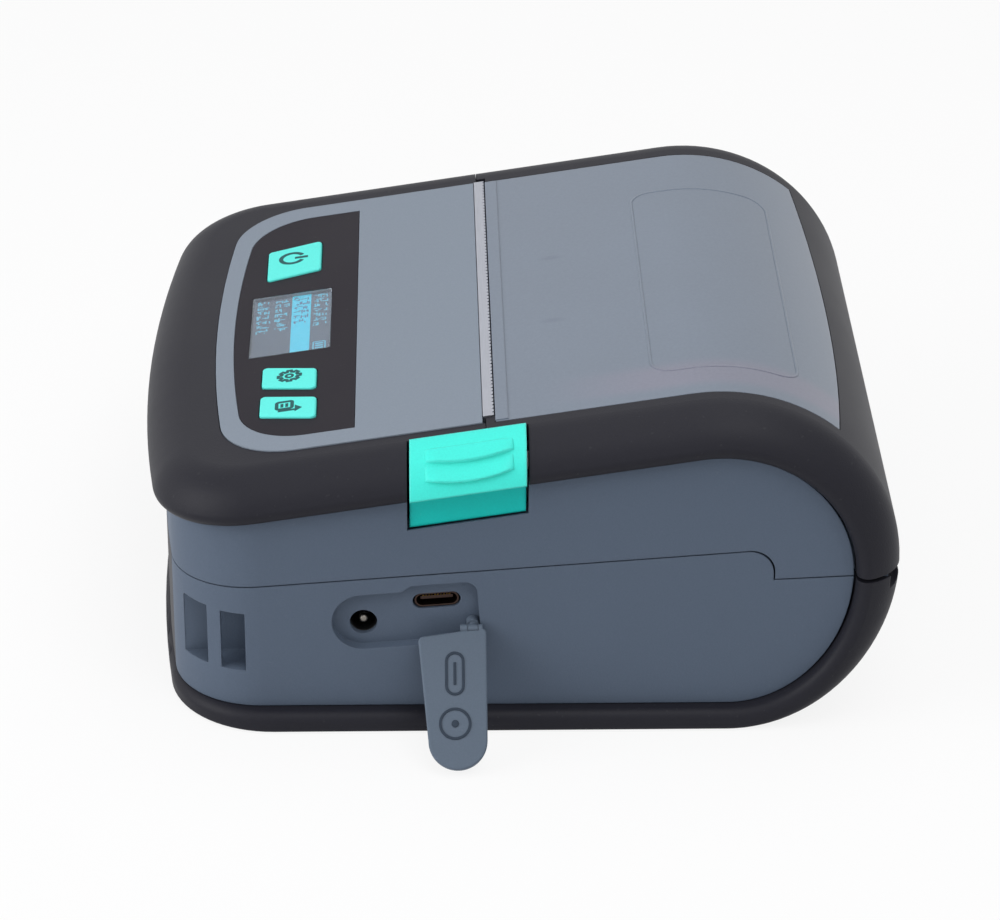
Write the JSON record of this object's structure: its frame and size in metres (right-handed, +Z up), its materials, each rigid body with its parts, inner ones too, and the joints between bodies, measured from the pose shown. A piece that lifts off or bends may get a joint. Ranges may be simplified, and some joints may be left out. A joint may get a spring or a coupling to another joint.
{
  "type": "portable label printer",
  "caption": "Portable label printer with a hinged windowed cover, push latch, keys, display, sliding roll guides, strap slots and a hanging rubber port flap.",
  "frame": {"origin": "on the flat underside, in the middle of the closed body's width and length", "axes": "+X towards the printer's right side with the latch and the ports, -Y towards the front with the keys, +Z up"},
  "size_m": [0.1568, 0.1548, 0.0717],
  "materials": {
    "dark_shell": "satin, fine-textured",
    "grey_shell": "satin, fine-textured",
    "panel_grey": "satin",
    "smoke_sheet": "gloss",
    "overlay_black": "semi-gloss",
    "key_teal": "matte",
    "latch_teal": "satin",
    "display_glass": "gloss",
    "display_body": "matte",
    "board_green": "satin",
    "chip_black": "matte",
    "inner_black": "matte",
    "steel": "brushed",
    "bright_steel": "polished",
    "aluminium": "satin",
    "ceramic": "glazed",
    "platen_rubber": "matte",
    "gear_white": "satin",
    "bearing_plastic": "satin",
    "gold_contact": "polished",
    "flap_rubber": "matte",
    "battery_wrap": "satin"
  },
  "bodies": {
    "case": {"lower_case": "grey_shell", "lower_bumper": "dark_shell", "upper_case": "grey_shell", "front_cap": "dark_shell", "top_panel": "panel_grey", "control_overlay": "overlay_black", "display_glass": "display_glass", "display_module": "display_body", "button_switches": "chip_black", "panel_board": "board_green", "tear_bar": "steel", "hinge_pin": "bright_steel", "stepper_motor": "steel", "print_head": "ceramic", "head_heatsink": "aluminium", "head_springs": "bright_steel", "print_frame": "steel", "latch_spring": "bright_steel", "roll_bin": "inner_black", "paper_sensor": "chip_black", "main_board": "board_green", "board_parts": "chip_black", "dc_jack": "chip_black", "usb_socket": "steel", "battery_pack": "battery_wrap", "battery_door": "dark_shell", "battery_contacts": "gold_contact", "case_screws": "steel"},
    "cover": {"cover_frame": "dark_shell", "cover_window": "smoke_sheet", "platen_bearings": "bearing_plastic"},
    "platen": {"platen_roller": "platen_rubber", "platen_shaft": "bright_steel", "platen_gear": "gear_white"},
    "idler": {"idler_gear": "gear_white"},
    "motor_pinion": {"motor_gear": "gear_white"},
    "latch": {"release_latch": "latch_teal"},
    "hooks": {"latch_hooks": "steel"},
    "power_key": {"power_button": "key_teal"},
    "menu_key": {"menu_button": "key_teal"},
    "feed_key": {"feed_button": "key_teal"},
    "right_guide": {"roll_guide_right": "inner_black"},
    "left_guide": {"roll_guide_left": "inner_black"},
    "centring_pinion": {"guide_pinion": "gear_white"},
    "tether": {"flap_tether": "flap_rubber"},
    "flap": {"port_flap": "flap_rubber"}
  },
  "joints": [
    {"name": "cover_hinge", "type": "hinge", "parent": "case", "child": "cover", "pos_m": [0, 0.0754, 0.0345], "axis": [-1, 0, 0], "range_deg": [0, 80]},
    {"name": "platen_spin", "type": "hinge", "parent": "cover", "child": "platen", "pos_m": [0, 0.0012, 0.0565], "axis": [1, 0, 0], "continuous": true},
    {"name": "idler_spin", "type": "hinge", "parent": "case", "child": "idler", "pos_m": [0, -0.0027, 0.0441], "axis": [1, 0, 0], "continuous": true},
    {"name": "motor_spin", "type": "hinge", "parent": "case", "child": "motor_pinion", "pos_m": [0, -0.01048, 0.03632], "axis": [1, 0, 0], "continuous": true},
    {"name": "latch_press", "type": "slide", "parent": "case", "child": "latch", "axis": [0, 0, -1], "range_m": [0, 0.0035], "stiffness_N_per_m": 400, "springref_m": -0.002, "deforming": ["latch_spring"]},
    {"name": "hook_turn", "type": "hinge", "parent": "case", "child": "hooks", "pos_m": [0, -0.005, 0.0438], "axis": [1, 0, 0], "range_deg": [0, 14.4]},
    {"name": "power_press", "type": "slide", "parent": "case", "child": "power_key", "axis": [0, 0.1547, -0.988], "range_m": [0, 0.0004], "stiffness_N_per_m": 900, "springref_m": -0.0002},
    {"name": "menu_press", "type": "slide", "parent": "case", "child": "menu_key", "axis": [0, 0.1547, -0.988], "range_m": [0, 0.0004], "stiffness_N_per_m": 900, "springref_m": -0.0002},
    {"name": "feed_press", "type": "slide", "parent": "case", "child": "feed_key", "axis": [0, 0.1547, -0.988], "range_m": [0, 0.0004], "stiffness_N_per_m": 900, "springref_m": -0.0002},
    {"name": "right_guide_slide", "type": "slide", "parent": "case", "child": "right_guide", "axis": [-1, 0, 0], "range_m": [0, 0.03]},
    {"name": "left_guide_slide", "type": "slide", "parent": "case", "child": "left_guide", "axis": [1, 0, 0], "range_m": [0, 0.03]},
    {"name": "centring_pinion_turn", "type": "hinge", "parent": "case", "child": "centring_pinion", "pos_m": [0, 0.039, 0.0059], "axis": [0, 0, 1], "range_deg": [0, 360]},
    {"name": "flap_swivel", "type": "hinge", "parent": "case", "child": "tether", "pos_m": [0.0643, -0.00915, 0.0233], "axis": [-1, 0, 0], "range_deg": [0, 90]},
    {"name": "flap_bend", "type": "hinge", "parent": "tether", "child": "flap", "pos_m": [0.0674, -0.00915, 0.0233], "axis": [0, 1, 0], "range_deg": [-30, 28], "stiffness_Nm_per_rad": 0.004}
  ],
  "couplings": [
    {"joint": "idler_spin", "follows": "platen_spin", "ratio": -0.625},
    {"joint": "motor_spin", "follows": "platen_spin", "ratio": 1.6667},
    {"joint": "hook_turn", "follows": "latch_press", "rad_per_m": 71.429},
    {"joint": "left_guide_slide", "follows": "right_guide_slide", "ratio": 1},
    {"joint": "centring_pinion_turn", "follows": "right_guide_slide", "rad_per_m": 208.33}
  ]
}
